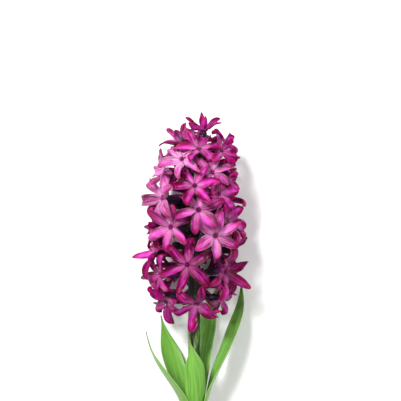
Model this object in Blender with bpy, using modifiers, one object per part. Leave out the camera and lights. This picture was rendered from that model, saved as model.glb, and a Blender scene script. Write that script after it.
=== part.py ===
"""A hyacinth in flower with its bulb, roots and leaves, lifted from the soil and laid on a surface.

X runs across the plant, Y along it from the roots to the tip, Z up from the surface it lies on.
Every dimension below is in millimetres, and add_piece() turns them into metres.
"""

import math

import bmesh
import bpy
from mathutils import Matrix, Vector
from mathutils.bvhtree import BVHTree

MM = 0.001
GAP = 0.3  # running clearance where two pieces meet

# Stations along the plant: 0 is the lowest pedicel, and the raceme fills the length above it.
SHIFT = Vector((2.7, 0.4, 0.0))
BULB_BASE, NECK_FLOOR, SCAPE_TOP = -127.0, -78.4, 141.0
AXIS_Z = 28.0  # height of the plant's axis at the widest part of the bulb
AXIS_RISE = 0.040  # the raceme is wider than the bulb, so the axis climbs towards the tip

SCAPE_R, SCAPE_TIP_R = 4.6, 2.2
PEDICEL_R, PEDICEL_END, PEDICEL_ROOT = 1.1, 9.2, 1.6

TUBE = ((0.0, 1.5), (0.34, 2.7), (0.72, 2.1), (1.0, 2.9))  # share of the length, radius
LOBE_LENGTH, LOBE_WIDTH = 18.4, 6.9
LOBE_ROWS = (0.10, 0.27, 0.55, 0.82, 1.0)  # the first only measures clearance near the rim
LOBE_SKIN = 0.55
LOBE_START, LOBE_STEEP = 50.0, 28.0  # degrees off the tube's axis where a lobe leaves the rim
CLEAR, OWN_CLEAR = 0.5, 0.15  # least space round a lobe: to other florets, and to its own

# Each floret that faces the front: across, station, height above the scape, turn to the side, tilt
# towards the tip, roll of the six lobes, size, and how far the lobes curl back in degrees.
FRONT = (
    (3.5, 88.0, 27.0, 3, 15, 15, 1.10, 118),
    (0.5, 106.0, 26.0, -4, 16, 4, 1.02, 112),
    (-4.9, 47.0, 28.0, -4, 4, 19, 1.12, 104),
    (-17.6, 75.0, 22.5, -20, 6, 28, 1.06, 106),
    (16.3, 68.5, 24.0, 14, 2, 25, 1.10, 102),
    (3.8, 134.0, 18.0, 0, 40, 6, 1.00, 112),
    (7.2, 149.0, 4.0, 4, 60, 36, 0.78, 66),
    (-9.0, 126.0, 22.0, -16, 22, 25, 0.95, 112),
    (13.9, 116.0, 20.5, 22, 14, 22, 1.00, 110),
    (20.5, 132.5, 13.5, 44, 28, 35, 0.92, 118),
    (18.8, 100.0, 20.5, 34, 8, 12, 1.02, 116),
    (-23.5, 97.0, 16.0, -40, 14, 16, 1.12, 102),
    (25.5, 80.5, 10.0, 60, 20, 30, 1.02, 96),
    (-28.0, 74.0, 4.0, -74, 4, 10, 0.98, 108),
    (-30.0, 55.0, 7.0, -66, 16, 30, 1.02, 84),
    (23.9, 41.0, 18.0, 40, -6, 22, 1.10, 96),
    (1.8, 17.0, 23.0, 4, -44, 18, 1.10, 96),
    (-26.0, 38.0, 10.0, -58, -6, 10, 1.05, 124),
    (-21.0, 18.0, 14.0, -46, -34, 20, 0.98, 108),
    (-23.0, 117.0, 9.0, -64, 18, 2, 0.95, 112),
    (25.5, 116.0, 3.0, 76, 12, 20, 0.98, 106),
    (-10.5, 140.0, 6.0, -42, 48, 30, 0.82, 70),
    (27.5, 57.0, 2.0, 78, 2, 30, 1.02, 106),
    (21.0, 20.0, 8.0, 60, -30, 8, 0.95, 110),
)
# The rest stand round the back by azimuth and station.
BACK = (
    (118, 137.0), (196, 142.0), (-112, 134.0), (160, 124.0), (-146, 118.0), (118, 98.0),
    (-170, 102.0), (-112, 92.0), (150, 86.0), (-150, 76.0), (112, 76.0), (176, 64.0),
    (-112, 60.0), (137, 52.0), (-156, 44.0), (172, 26.0), (-122, 22.0), (116, 33.0),
)
BACK_RADIUS = 26.0

BULB_OUTLINE = (
    (0.0, 0.0), (9.0, 0.2), (12.5, 1.6), (17.5, 4.8), (23.4, 10.5), (27.2, 18.0), (28.0, 24.0),
    (26.4, 31.5), (22.0, 39.5), (16.4, 46.5), (12.6, 51.5), (11.3, 55.0), (10.3, 55.4),
    (9.9, 54.4), (9.9, 48.6), (0.0, 47.8),
)  # radius, height above the base: up the outside, over the neck's rim and down to its floor
BULB_STEPS = 28

# Each leaf: azimuth and radius where it leaves the neck, the point it bends towards, its tip, and its
# greatest width. Both points are across, station and height above the surface.
LEAVES = (
    (72, 8.4, (40.0, -18.0, 30.0), (37.5, 31.0, 1.6), 20.0),
    (155, 8.4, (5.0, -16.0, 4.0), (19.5, 28.0, 1.2), 17.0),
    (-40, 8.4, (-31.0, -40.0, 48.0), (-37.0, -6.0, 34.0), 19.0),
    (-122, 8.4, (-18.0, -42.0, 6.0), (-27.0, 3.0, 1.2), 19.0),
    (16, 6.1, (3.0, -42.0, 46.0), (-3.0, -12.0, 48.0), 17.0),
)
LEAF_BASE = 11.4
LEAF_THICK, LEAF_ROWS = 1.1, 11
ROOTS, ROOT_R, ROOT_LENGTH = 13, 0.95, 31.0
PLATE_R, PLATE_THICK = 10.5, 3.0


def axis_point(station):
    """The middle of the scape, which leans to one side and climbs a little towards the tip."""
    lean = 6.0 * max(0.0, (station - 30.0) / 115.0) ** 2
    return SHIFT + Vector((lean, station, AXIS_Z + AXIS_RISE * (station + 103.0)))


def radial(azimuth):
    """The direction away from the scape: 0 is up and 90 is across to +X."""
    angle = math.radians(azimuth)
    return Vector((math.sin(angle), 0.0, math.cos(angle)))


def smooth(t):
    t = min(1.0, max(0.0, t))
    return t * t * (3.0 - 2.0 * t)


def bezier(points, t):
    a, b, c, d = points
    s = 1.0 - t
    return a * s**3 + b * (3 * s * s * t) + c * (3 * s * t * t) + d * t**3


def bezier_slope(points, t):
    a, b, c, d = points
    s = 1.0 - t
    return ((b - a) * (3 * s * s) + (c - b) * (6 * s * t) + (d - c) * (3 * t * t)).normalized()


def add_material(name, colour, roughness):
    material = bpy.data.materials.new(name)
    material.use_nodes = True
    shader = material.node_tree.nodes["Principled BSDF"]
    shader.inputs["Base Color"].default_value = (*colour, 1.0)
    shader.inputs["Roughness"].default_value = roughness
    material.diffuse_color = (*colour, 1.0)
    return material


def add_piece(name, bm, material, collection):
    """Turns a bmesh in millimetres into an object in metres."""
    bmesh.ops.scale(bm, vec=(MM, MM, MM), verts=bm.verts)
    mesh = bpy.data.meshes.new(name)
    bm.to_mesh(mesh)
    bm.free()
    mesh.materials.append(material)
    piece = bpy.data.objects.new(name, mesh)
    collection.objects.link(piece)
    return piece


def loft(bm, rows, closed=False):
    """Faces between rows of vertices; a row of one vertex closes to a point."""
    for low, high in zip(rows, rows[1:]):
        sides = len(low) if closed else len(low) - 1
        for i in range(sides):
            j = (i + 1) % len(low)
            if len(high) == 1:
                bm.faces.new((low[i], low[j], high[0]))
            else:
                bm.faces.new((low[i], low[j], high[j], high[i]))


def solidify(piece, thickness, offset):
    skin = piece.modifiers.new("skin", "SOLIDIFY")
    skin.thickness = thickness * MM
    skin.offset = offset
    skin.use_rim = True


def apply_modifiers(piece):
    graph = bpy.context.evaluated_depsgraph_get()
    mesh = bpy.data.meshes.new_from_object(piece.evaluated_get(graph))
    piece.modifiers.clear()
    piece.data = mesh


# ---------------------------------------------------------------- florets


class Floret:
    """One flower: where its tube starts and ends, and which way its face looks."""

    def __init__(self, number, across, station, out, turn, tilt, roll, size, curl):
        self.number, self.roll, self.size, self.curl = number, roll, size, curl
        centre = axis_point(station)
        self.throat = Vector((SHIFT.x + across, centre.y, centre.z + out))
        turn, tilt = math.radians(turn), math.radians(tilt)
        self.face = Vector(
            (math.sin(turn) * math.cos(tilt), math.sin(tilt), math.cos(turn) * math.cos(tilt))
        )
        self.up = (Vector((0, 1, 0)) - self.face * self.face.y).normalized()
        self.right = self.up.cross(self.face)
        climb = 5.0 + 9.0 * math.sin(tilt)
        self.foot_station = min(station - climb, SCAPE_TOP - 3.0)
        foot = axis_point(self.foot_station)
        away = self.throat - foot
        away.y = 0.0
        rise = math.radians(20.0) + 0.6 * tilt
        self.heading = away.normalized() * math.cos(rise) + Vector((0, math.sin(rise), 0))
        self.pedicel = (foot + self.heading * PEDICEL_ROOT, foot + self.heading * PEDICEL_END)
        start = foot + self.heading * (PEDICEL_END + GAP + LOBE_SKIN / 2)
        reach = (self.throat - start).length * 0.36
        self.path = (
            start,
            start + self.heading * reach,
            self.throat - self.face * reach,
            self.throat,
        )

    def around(self, angle):
        angle = math.radians(angle)
        return self.right * math.cos(angle) + self.up * math.sin(angle)

    def ring(self, share, radius, sides, shift=0.0):
        """Points round the tube, all starting from the same side."""
        centre = bezier(self.path, share)
        along = bezier_slope(self.path, share)
        up = (self.up - along * self.up.dot(along)).normalized()
        right = up.cross(along)
        points = []
        for i in range(sides):
            angle = math.radians(self.roll + shift + 360.0 * i / sides)
            points.append(centre + (right * math.cos(angle) + up * math.sin(angle)) * radius)
        return points


def lobe_width(share):
    """A lobe's width along its length, as a share of its greatest width."""
    return (0.52 + 0.48 * math.sin(math.pi * share**0.95)) * (1.0 - share**5)


def lobe_spine(floret, index, start, curl, lean, length):
    """Centre, sideways and outward directions at each row of a lobe that curls back from the rim."""
    angle = floret.roll + 60.0 * index
    rim = TUBE[-1][1] * floret.size
    spot = floret.throat + floret.around(angle) * rim
    steps, spine, done = 24, [], 0
    stride = length / steps
    for row in LOBE_ROWS:
        while done < round(row * steps):
            share = (done + 0.5) / steps
            bend = math.radians(start + (curl - start) * share**0.8)
            outward = floret.around(angle + lean * share)
            spot = spot + (floret.face * math.cos(bend) + outward * math.sin(bend)) * stride
            done += 1
        bend = math.radians(start + (curl - start) * row**0.8)
        outward = floret.around(angle + lean * row)
        along = floret.face * math.cos(bend) + outward * math.sin(bend)
        normal = floret.face * math.sin(bend) - outward * math.cos(bend)
        spine.append((spot.copy(), normal.cross(along).normalized(), normal))
    return spine


def lobe_points(spine, width):
    """Rows of three points across the channelled lobe, and one at its tip."""
    made = []
    for (spot, side, normal), row in zip(spine, LOBE_ROWS):
        half = width * 0.5 * lobe_width(row)
        if row > 0.999:
            made.append([spot])
        else:
            made.append([spot - side * half, spot - normal * 0.20 * half, spot + side * half])
    return made


def lobe_hull(points, spine, grow):
    """A closed skin round a lobe, standing off it by grow, for measuring clearance."""
    verts, faces = [], []
    for row, (spot, side, normal) in zip(points, spine):
        row = [row[0] - side * 0.4, row[0], row[0] + side * 0.4] if len(row) == 1 else row
        verts += [
            row[0] - side * grow + normal * grow,
            row[1] + normal * grow,
            row[2] + side * grow + normal * grow,
            row[2] + side * grow - normal * grow,
            row[1] - normal * grow,
            row[0] - side * grow - normal * grow,
        ]
    for i in range(len(points) - 1):
        for j in range(6):
            k = (j + 1) % 6
            faces.append((6 * i + j, 6 * i + k, 6 * i + 6 + k, 6 * i + 6 + j))
    last = 6 * (len(points) - 1)
    faces += [(0, 1, 4, 5), (1, 2, 3, 4)]
    faces += [(last, last + 1, last + 4, last + 5), (last + 1, last + 2, last + 3, last + 4)]
    return verts, faces


def plant_frame(station, unit=1.0):
    """A frame on the plant's axis whose Z runs towards the tip."""
    along = (axis_point(station + 1.0) - axis_point(station)).normalized()
    across = Vector((1.0, 0.0, 0.0))
    front = along.cross(across)
    turn = Matrix((across, front, along)).transposed().to_4x4()
    return Matrix.Translation(axis_point(station) * unit) @ turn


class Solid:
    """A skin that later pieces keep clear of, with its box for a quick first test."""

    def __init__(self, owner, verts, faces):
        self.owner = owner
        self.tree = BVHTree.FromPolygons(verts, faces)
        self.low = [min(v[i] for v in verts) for i in range(3)]
        self.high = [max(v[i] for v in verts) for i in range(3)]

    def meets(self, other):
        for i in range(3):
            if self.low[i] > other.high[i] or other.low[i] > self.high[i]:
                return False
        return bool(self.tree.overlap(other.tree))


def tube_solid(floret, grow, past=2.2):
    """The tube with its mouth carried a little further out, so that nothing blocks it."""
    rings = [floret.ring(share, r * floret.size + grow, 8) for share, r in TUBE]
    wide = (TUBE[-1][1] + 0.7) * floret.size + grow
    rings.append([p + floret.face * past for p in floret.ring(1.0, wide, 8)])
    verts = [p for ring in rings for p in ring]
    faces = []
    for i in range(len(rings) - 1):
        for j in range(8):
            k = (j + 1) % 8
            faces.append((8 * i + j, 8 * i + k, 8 * i + 8 + k, 8 * i + 8 + j))
    faces.append(tuple(range(8)))
    faces.append(tuple(range(8 * len(rings) - 8, 8 * len(rings))))
    return Solid(floret.number, verts, faces)


def solid_of(piece):
    """The solid of a finished piece, in millimetres."""
    bpy.context.view_layer.update()
    mesh = piece.evaluated_get(bpy.context.evaluated_depsgraph_get()).to_mesh()
    verts = [piece.matrix_world @ v.co / MM for v in mesh.vertices]
    return Solid(None, verts, [tuple(p.vertices) for p in mesh.polygons])


def all_florets():
    florets = []
    for row in FRONT:
        florets.append(Floret(len(florets) + 1, *row))
    for azimuth, station in BACK:
        number = len(florets) + 1
        radius = BACK_RADIUS + 1.2 * math.sin(2.3 * number)
        radius *= 1.0 - 0.62 * max(0.0, (station - 118.0) / 60.0)
        place = radial(azimuth) * radius
        lean = axis_point(station).x - SHIFT.x
        tilt = 6.0 + 0.42 * (station - 70.0) if station > 70 else 6.0 + 0.75 * (station - 70.0)
        roll = (37.0 * number) % 60.0
        size = 1.0 - 0.14 * max(0.0, (station - 110.0) / 30.0)
        florets.append(
            Floret(number, place.x + lean, station, place.z, azimuth, tilt, roll, size, 108)
        )
    return florets


def lobe_choices():
    """Ways to bend a lobe aside, the least change first: start, curl, lean and length."""
    curls = (0, -14, 14, -28, 28, -42, 42, -58, 58, 74)
    leans = (0, 9, -9, 18, -18, 28, -28, 38, -38, 48, -48)
    choices = []
    for start in (LOBE_START, LOBE_STEEP):
        for curl in curls:
            for lean in leans:
                for length in (1.0, 0.92, 0.84, 0.74, 0.64):
                    cost = (LOBE_START - start) / 6 + abs(curl) / 14 + abs(lean) / 7
                    choices.append((cost + (1.0 - length) * 16, start, curl, lean, length))
    return sorted(choices)


def wanted_curl(floret, index):
    return floret.curl + 13.0 * math.sin(2.1 * floret.number + 1.7 * index)


def fit_lobes(floret, placed, tubes):
    """The six lobes of a floret, each bent as little as clears everything already placed."""
    lobes, own, whole, choices = [], [], [], lobe_choices()
    tubes = [tube for tube in tubes if tube.owner != floret.number]
    for index in range(6):
        width = LOBE_WIDTH * floret.size * (1.06 if index % 2 else 0.96)
        for _, start, curl, lean, share in choices:
            curl += wanted_curl(floret, index)
            length = LOBE_LENGTH * floret.size * share
            spine = lobe_spine(floret, index, start, curl, lean, length)
            points = lobe_points(spine, width)
            if min(p.z for row in points for p in row) < LOBE_SKIN:
                continue
            trial = Solid(floret.number, *lobe_hull(points, spine, CLEAR + LOBE_SKIN / 2))
            close = lobe_hull(points[1:], spine[1:], OWN_CLEAR + LOBE_SKIN / 2)
            close = Solid(floret.number, *close)
            if any(close.meets(solid) for solid in own):
                continue
            if not any(trial.meets(solid) for solid in placed + tubes):
                break
        else:
            print(f"floret {floret.number} lobe {index} has no clear place")
        own.append(Solid(floret.number, *lobe_hull(points[1:], spine[1:], LOBE_SKIN / 2)))
        whole.append(Solid(floret.number, *lobe_hull(points, spine, LOBE_SKIN / 2)))
        lobes.append(points[1:])
    placed += whole
    return lobes


def floret_mesh(floret, lobes):
    bm = bmesh.new()
    rings = []
    for share, radius in TUBE[:-1]:
        rings.append([bm.verts.new(p) for p in floret.ring(share, radius * floret.size, 6, -30)])
    rim = [bm.verts.new(p) for p in floret.ring(1.0, TUBE[-1][1] * floret.size, 12, -30)]
    bm.faces.new(reversed(rings[0]))
    loft(bm, rings, closed=True)
    for i in range(6):
        j = (i + 1) % 6
        mouth = (rim[(2 * i + 2) % 12], rim[2 * i + 1], rim[2 * i])
        bm.faces.new((rings[-1][i], rings[-1][j], *mouth))
        rows = [[rim[2 * i], rim[2 * i + 1], rim[(2 * i + 2) % 12]]]
        rows += [[bm.verts.new(p) for p in row] for row in lobes[i]]
        loft(bm, rows)
    return bm


# ---------------------------------------------------------------- scape, leaves, bulb, roots


def scape_mesh(collection):
    """The bare scape, a bevelled line that thins towards the tip."""
    curve = bpy.data.curves.new("scape_line", "CURVE")
    curve.dimensions = "3D"
    curve.bevel_depth = SCAPE_R
    curve.bevel_resolution = 3
    curve.use_fill_caps = True
    spline = curve.splines.new("POLY")
    stations = (NECK_FLOOR - 0.1, -40.0, 0.0, 40.0, 70.0, 100.0, 122.0, SCAPE_TOP)
    spline.points.add(len(stations) - 1)
    for point, station in zip(spline.points, stations):
        point.co = (*axis_point(station), 1.0)
        taper = smooth((station - 40.0) / (SCAPE_TOP - 40.0))
        point.radius = 1.0 + (SCAPE_TIP_R / SCAPE_R - 1.0) * taper
    line = bpy.data.objects.new("scape_line", curve)
    collection.objects.link(line)
    bpy.context.view_layer.update()
    graph = bpy.context.evaluated_depsgraph_get()
    bm = bmesh.new()
    bm.from_mesh(bpy.data.meshes.new_from_object(line.evaluated_get(graph)))
    bpy.data.objects.remove(line)
    bmesh.ops.remove_doubles(bm, verts=bm.verts, dist=0.01)
    bmesh.ops.recalc_face_normals(bm, faces=bm.faces)
    return bm


def pedicels_mesh(florets):
    bm = bmesh.new()
    for floret in florets:
        low, high = floret.pedicel
        along = high - low
        turn = along.to_track_quat("Z", "Y").to_matrix().to_4x4()
        place = Matrix.Translation((low + high) * 0.5) @ turn
        bmesh.ops.create_cone(
            bm,
            cap_ends=True,
            segments=6,
            radius1=PEDICEL_R * 0.85,
            radius2=PEDICEL_R * 1.15,
            depth=along.length,
            matrix=place,
        )
    return bm


def leaf_mesh(azimuth, radius, towards, tip, width):
    """A channelled leaf that leaves the neck wrapped round the scape and opens out to its tip."""
    start = axis_point(NECK_FLOOR + GAP + 0.3) + radial(azimuth) * radius
    end = SHIFT + Vector(tip)
    reach = Vector((0, 0.36 * (end - start).length, 0))
    path = (start, start + reach, SHIFT + Vector(towards), end)
    rows = []
    for i in range(LEAF_ROWS + 1):
        t = i / LEAF_ROWS
        centre, along = bezier(path, t), bezier_slope(path, t)
        inward = axis_point(centre.y - SHIFT.y) + Vector((0, 0, 10.0 * smooth(t))) - centre
        inward = (inward - along * inward.dot(along)).normalized()
        across = along.cross(inward)
        wide = LEAF_BASE + (width - LEAF_BASE) * smooth((t - 0.09) / 0.4)
        wide *= (1.0 - smooth((t - 0.55) / 0.47) ** 1.5) if t > 0.55 else 1.0
        bend = radius + (17.0 - radius) * smooth((t - 0.09) / 0.35)
        if i == LEAF_ROWS:
            rows.append([centre])
            continue
        row = []
        for j in (-1.0, -0.5, 0.0, 0.5, 1.0):
            angle = j * 0.5 * wide / bend
            row.append(
                centre + across * (bend * math.sin(angle)) + inward * bend * (1 - math.cos(angle))
            )
        rows.append(row)
    bm = bmesh.new()
    loft(bm, [[bm.verts.new(p) for p in row] for row in rows])
    return bm


def bulb_outline():
    """The outline that the Screw turns into the bulb, drawn in its own frame."""
    bm = bmesh.new()
    verts = [bm.verts.new((radius, 0.0, height)) for radius, height in BULB_OUTLINE]
    for a, b in zip(verts, verts[1:]):
        bm.edges.new((a, b))
    return bm


def roots_mesh():
    """The tuft of roots, each a run of rings that bends and thins towards its end."""
    bm = bmesh.new()
    sixths = [math.tau * n / 6 for n in range(6)]
    for i in range(ROOTS):
        inner = i % 3 == 0
        azimuth = 137.508 * i
        spread = 0.0 if i == 0 else (3.4 if inner else 7.4)
        length = ROOT_LENGTH * (1.0 + 0.16 * math.sin(2.4 * i))
        start = axis_point(BULB_BASE - GAP - 1.0) + radial(azimuth) * spread
        drift = radial(azimuth) * (0.18 if inner else 0.42)
        rings = []
        for k in range(5):
            t = k / 4
            centre = start + Vector((0, -length * t, 0)) + drift * length * t * (0.4 + 0.6 * t)
            centre = centre + radial(azimuth + 90) * 1.6 * math.sin(3.0 * t + i) * t
            centre.z = max(centre.z - 5.0 * t * t, ROOT_R + 0.3)
            size = ROOT_R * (1.0 - 0.45 * t)
            around = [Vector((math.cos(a), 0.0, math.sin(a))) for a in sixths]
            rings.append([bm.verts.new(centre + out * size) for out in around])
        loft(bm, rings, closed=True)
        bm.faces.new(reversed(rings[0]))
        bm.faces.new(rings[-1])
    bmesh.ops.recalc_face_normals(bm, faces=bm.faces)
    return bm


def plate_mesh():
    """The bulb's basal plate, from which the roots grow."""
    bm = bmesh.new()
    bmesh.ops.create_cone(
        bm,
        cap_ends=True,
        segments=20,
        radius1=PLATE_R - 2.0,
        radius2=PLATE_R,
        depth=PLATE_THICK,
        matrix=plant_frame(BULB_BASE - GAP - PLATE_THICK / 2),
    )
    return bm


def join(piece, other):
    """Adds another solid to this one for good, and clears the helper away."""
    union = piece.modifiers.new("join", "BOOLEAN")
    union.operation = "UNION"
    union.solver = "EXACT"
    union.object = other
    bpy.context.view_layer.update()
    apply_modifiers(piece)
    bpy.data.objects.remove(other)


def build():
    for old in list(bpy.data.objects):
        bpy.data.objects.remove(old)
    collection = bpy.data.collections.new("hyacinth")
    bpy.context.scene.collection.children.link(collection)

    petal = add_material("petal", (0.62, 0.045, 0.36), 0.45)
    stem = add_material("stem", (0.085, 0.07, 0.075), 0.5)
    leaf = add_material("leaf", (0.11, 0.33, 0.06), 0.4)
    tunic = add_material("tunic", (0.32, 0.12, 0.17), 0.6)
    root = add_material("root", (0.78, 0.70, 0.54), 0.65)

    florets = all_florets()

    # The scape, with its pedicels
    scape = add_piece("scape", scape_mesh(collection), stem, collection)
    join(scape, add_piece("pedicels", pedicels_mesh(florets), stem, collection))

    # The leaves
    leaves = []
    for number, form in enumerate(LEAVES, 1):
        piece = add_piece(f"leaf_{number}", leaf_mesh(*form), leaf, collection)
        solidify(piece, LEAF_THICK, 0.0)
        leaves.append(piece)

    # The bulb and its roots
    bulb = add_piece("bulb", bulb_outline(), tunic, collection)
    screw = bulb.modifiers.new("turn", "SCREW")
    screw.steps = screw.render_steps = BULB_STEPS
    screw.use_merge_vertices = True
    screw.merge_threshold = 0.00001
    screw.use_normal_calculate = True
    bulb.matrix_world = plant_frame(BULB_BASE, MM)
    roots = add_piece("roots", roots_mesh(), root, collection)
    join(roots, add_piece("plate", plate_mesh(), root, collection))

    # The florets: every tube has its place first, then the lobes find their way between them
    placed = [solid_of(piece) for piece in (scape, *leaves)]
    tubes = [tube_solid(floret, LOBE_SKIN / 2) for floret in florets]
    for floret in florets:
        lobes = fit_lobes(floret, placed, tubes)
        name = f"floret_{floret.number:02d}"
        solidify(add_piece(name, floret_mesh(floret, lobes), petal, collection), LOBE_SKIN, 0.0)

    for piece in collection.objects:
        for polygon in piece.data.polygons:
            polygon.use_smooth = piece.name not in ("scape", "roots")


build()
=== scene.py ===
"""The looks of a hyacinth in flower, lifted with its bulb and laid on a pale surface.

X runs across the plant, Y along it from the roots to the tip, Z up from the surface. Sizes below are in
millimetres unless they say metres, and Shape.mesh() turns them into metres. Stations run along the plant
from its lowest pedicel.
"""

import math
import random

import bmesh
import bpy
from mathutils import Matrix, Vector, noise
from mathutils.bvhtree import BVHTree
from mathutils.kdtree import KDTree


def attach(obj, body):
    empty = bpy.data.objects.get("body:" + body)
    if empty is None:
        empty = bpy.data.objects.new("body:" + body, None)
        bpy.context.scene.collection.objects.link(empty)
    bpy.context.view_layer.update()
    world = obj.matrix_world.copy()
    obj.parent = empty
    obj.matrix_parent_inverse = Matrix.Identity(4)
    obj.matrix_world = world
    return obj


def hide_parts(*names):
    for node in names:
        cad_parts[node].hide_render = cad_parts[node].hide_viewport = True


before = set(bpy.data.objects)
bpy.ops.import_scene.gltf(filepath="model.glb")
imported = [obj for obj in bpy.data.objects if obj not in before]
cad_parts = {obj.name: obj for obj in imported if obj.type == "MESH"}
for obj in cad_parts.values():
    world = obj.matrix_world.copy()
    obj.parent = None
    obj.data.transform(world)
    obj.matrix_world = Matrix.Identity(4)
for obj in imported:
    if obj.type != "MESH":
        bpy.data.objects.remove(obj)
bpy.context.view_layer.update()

MM = 0.001
UP = Vector((0.0, 1.0, 0.0))

# ---------------- the plant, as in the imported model

SHIFT = Vector((2.7, 0.4, 0.0))
BULB_BASE, NECK_FLOOR, SCAPE_TOP = -127.0, -78.4, 141.0
AXIS_Z, AXIS_RISE = 28.0, 0.040
SCAPE_R, SCAPE_TIP_R = 4.6, 2.2
PEDICEL_R, PEDICEL_END, PEDICEL_ROOT = 1.1, 9.2, 1.6
GAP = 0.3

TUBE = ((0.0, 1.5), (0.34, 2.7), (0.72, 2.1), (1.0, 2.9))  # share of the length, radius
LOBES, LOBE_TURN = 6, 60.0
LOBE_LENGTH, LOBE_WIDTH, LOBE_SKIN = 18.4, 6.9, 0.55
LOBE_START, LOBE_STEEP = 50.0, 28.0
PACKED_HALVES = (0.48, 0.53)  # half the width of outer and inner lobes, as a share of LOBE_WIDTH
MATCH = 0.08  # a lobe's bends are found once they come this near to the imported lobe

# Each floret that faces the front: across, station, height above the scape, turn to the side, tilt
# towards the tip, roll of the six lobes, size, and how far the lobes curl back in degrees.
FRONT = (
    (3.5, 88.0, 27.0, 3, 15, 15, 1.10, 118),
    (0.5, 106.0, 26.0, -4, 16, 4, 1.02, 112),
    (-4.9, 47.0, 28.0, -4, 4, 19, 1.12, 104),
    (-17.6, 75.0, 22.5, -20, 6, 28, 1.06, 106),
    (16.3, 68.5, 24.0, 14, 2, 25, 1.10, 102),
    (3.8, 134.0, 18.0, 0, 40, 6, 1.00, 112),
    (7.2, 149.0, 4.0, 4, 60, 36, 0.78, 66),
    (-9.0, 126.0, 22.0, -16, 22, 25, 0.95, 112),
    (13.9, 116.0, 20.5, 22, 14, 22, 1.00, 110),
    (20.5, 132.5, 13.5, 44, 28, 35, 0.92, 118),
    (18.8, 100.0, 20.5, 34, 8, 12, 1.02, 116),
    (-23.5, 97.0, 16.0, -40, 14, 16, 1.12, 102),
    (25.5, 80.5, 10.0, 60, 20, 30, 1.02, 96),
    (-28.0, 74.0, 4.0, -74, 4, 10, 0.98, 108),
    (-30.0, 55.0, 7.0, -66, 16, 30, 1.02, 84),
    (23.9, 41.0, 18.0, 40, -6, 22, 1.10, 96),
    (1.8, 17.0, 23.0, 4, -44, 18, 1.10, 96),
    (-26.0, 38.0, 10.0, -58, -6, 10, 1.05, 124),
    (-21.0, 18.0, 14.0, -46, -34, 20, 0.98, 108),
    (-23.0, 117.0, 9.0, -64, 18, 2, 0.95, 112),
    (25.5, 116.0, 3.0, 76, 12, 20, 0.98, 106),
    (-10.5, 140.0, 6.0, -42, 48, 30, 0.82, 70),
    (27.5, 57.0, 2.0, 78, 2, 30, 1.02, 106),
    (21.0, 20.0, 8.0, 60, -30, 8, 0.95, 110),
)
# The rest stand round the back by azimuth and station.
BACK = (
    (118, 137.0), (196, 142.0), (-112, 134.0), (160, 124.0), (-146, 118.0), (118, 98.0),
    (-170, 102.0), (-112, 92.0), (150, 86.0), (-150, 76.0), (112, 76.0), (176, 64.0),
    (-112, 60.0), (137, 52.0), (-156, 44.0), (172, 26.0), (-122, 22.0), (116, 33.0),
)
BACK_RADIUS = 26.0
# Florets with pale painted highlights in streaks towards their lobes' bases, above zero, and florets
# that are darker, below zero
HIGHLIGHT_OR_DARKER = {
    8: 0.95, 12: 0.8, 5: 0.5, 20: 0.8, 9: 0.4, 22: 0.5, 4: 0.3, 1: 0.25,
    3: -0.5, 16: -0.6, 18: -0.6, 19: -0.5, 23: -0.4, 24: -0.4, 10: -0.3, 21: -0.5, 14: -0.4,
}
THROAT_R = 1.6
REST_GAP = 0.45  # a lobe's middle stays this far above the surface
WHORL_WIDTHS = (1.16, 1.28)  # outer and inner lobes, before they fold
FOLDS = (-0.6, 0.3, 0.6, 0.9, 1.2, 1.5)  # depth of a lobe's channel, as a share of half its width
RAISED_SHARE = 0.35
STYLE_RADII = (0.4, 0.45, 0.42, 0.36, 0.32, 0.36, 0.44, 0.15)
ANTHER_RADII = (0.10, 0.26, 0.32, 0.26, 0.08)

# The bulb's radius at each height above its base, up the outside to the neck's rim
BULB_OUTLINE = (
    (0.0, 0.0), (9.0, 0.2), (12.5, 1.6), (17.5, 4.8), (23.4, 10.5), (27.2, 18.0), (28.0, 24.0),
    (26.4, 31.5), (22.0, 39.5), (16.4, 46.5), (12.6, 51.5), (11.3, 55.0),
)
NECK_INNER, NECK_DEPTH = 9.9, 47.8

# Each leaf: azimuth and radius where it leaves the neck, the point it bends towards, its tip, and its
# greatest width. Both points are across, station and height above the surface.
LEAVES = (
    (72, 8.4, (40.0, -18.0, 30.0), (37.5, 31.0, 1.6), 20.0),
    (155, 8.4, (5.0, -16.0, 4.0), (19.5, 28.0, 1.2), 17.0),
    (-40, 8.4, (-31.0, -40.0, 48.0), (-37.0, -6.0, 34.0), 19.0),
    (-122, 8.4, (-18.0, -42.0, 6.0), (-27.0, 3.0, 1.2), 19.0),
    (16, 6.1, (3.0, -42.0, 46.0), (-3.0, -12.0, 48.0), 17.0),
)
LEAF_BASE, LEAF_THICK = 11.4, 1.1
LEAF_GAP = 0.35  # the lowest that a leaf comes to the surface
ROOTS, ROOT_R, ROOT_LENGTH = 13, 0.95, 31.0
PLATE_R, PLATE_THICK = 10.5, 3.0
GOLDEN_ANGLE = 137.508
PLATE_OUTLINE = (  # height, radius
    (0.0, PLATE_R * 0.55), (0.2, PLATE_R - 2.2), (1.2, PLATE_R - 1.0),
    (2.4, PLATE_R - 0.1), (3.4, PLATE_R + 0.2),
)

# ---------------- fineness of the visible meshes

LOBE_STEPS, LOBE_COLUMNS = 24, 10
TUBE_SIDES, TUBE_ROWS, MOUTH_ROWS = 24, 18, 9
TRIES, CLEARANCE = 44, 0.25  # how often a lobe is drawn anew, and how far it keeps from others
SCAPE_STEPS, SCAPE_VOXEL = 110, 0.40
LEAF_ROWS, LEAF_COLUMNS = 64, 20
BULB_ROWS, BULB_SIDES = 80, 144
RAGGED_LAYERS, LAYER_ROWS, LAYER_COLUMNS = 9, 34, 30
ROOTLETS, ROOT_STEPS, PLATE_SIDES = 34, 22, 60

# ---------------- framing and light

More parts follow.
